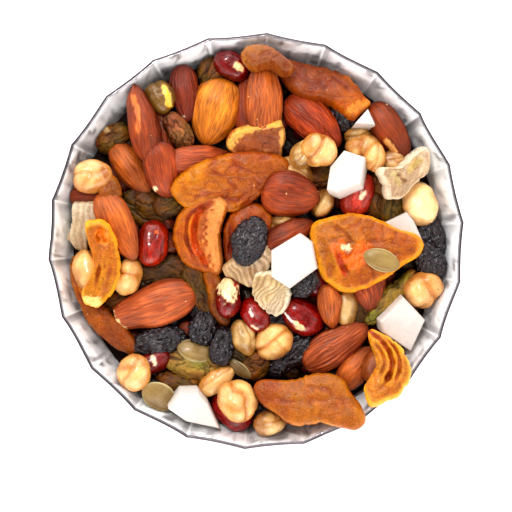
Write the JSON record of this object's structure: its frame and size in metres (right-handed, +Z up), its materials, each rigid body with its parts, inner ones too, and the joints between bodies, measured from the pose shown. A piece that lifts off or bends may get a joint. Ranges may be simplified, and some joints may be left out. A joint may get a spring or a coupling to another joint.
{
  "type": "bowl of trail mix",
  "caption": "Faceted sheet-metal bowl heaped above its rim with nuts, dried fruit, seeds and coconut pieces.",
  "frame": {"origin": "centre of the bowl's flat underside", "axes": "+Z up along the bowl's axis, +X to the right and +Y away in the picture's view from above"},
  "size_m": [0.1304, 0.1306, 0.0584],
  "materials": {
    "sheet_metal": "hammered satin sheet metal",
    "nuts_and_fruit": "matte to waxy mixed nuts and dried fruit"
  },
  "bodies": {
    "root": {"bowl": "sheet_metal", "trail_mix": "nuts_and_fruit"}
  },
  "joints": []
}
